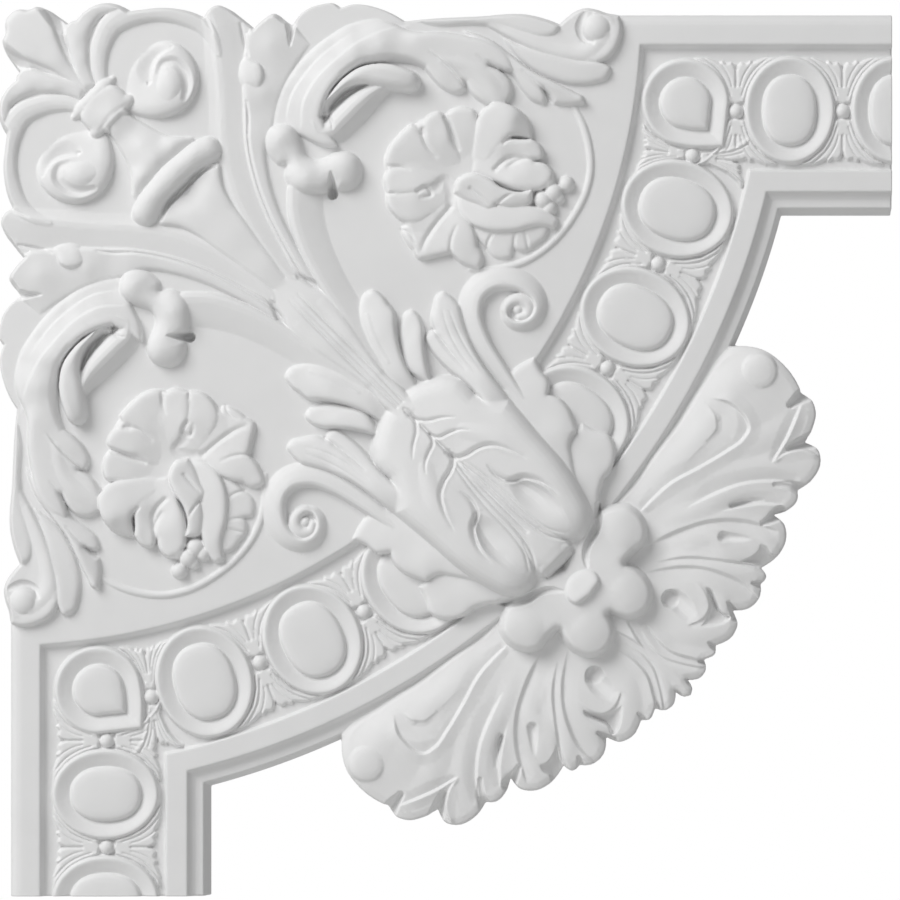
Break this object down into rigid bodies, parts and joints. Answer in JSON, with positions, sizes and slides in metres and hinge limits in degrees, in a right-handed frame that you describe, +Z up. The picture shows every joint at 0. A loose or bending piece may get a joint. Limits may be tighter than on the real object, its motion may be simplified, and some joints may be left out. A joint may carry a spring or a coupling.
{
  "type": "corner panel moulding",
  "caption": "Square corner moulding for wall panelling with a carved scroll field, egg-patterned legs and curved band, a folded leaf and a fan shell, cast in one piece.",
  "frame": {"origin": "on the flat back, where the centre lines of the two legs cross", "axes": "+X along the top leg, +Z up, +Y into the wall, with the relief facing -Y"},
  "size_m": [0.5111, 0.039, 0.5111],
  "materials": {
    "primed_cast": "factory white primer, matt"
  },
  "bodies": {
    "root": {"corner_moulding": "primed_cast"}
  },
  "joints": []
}
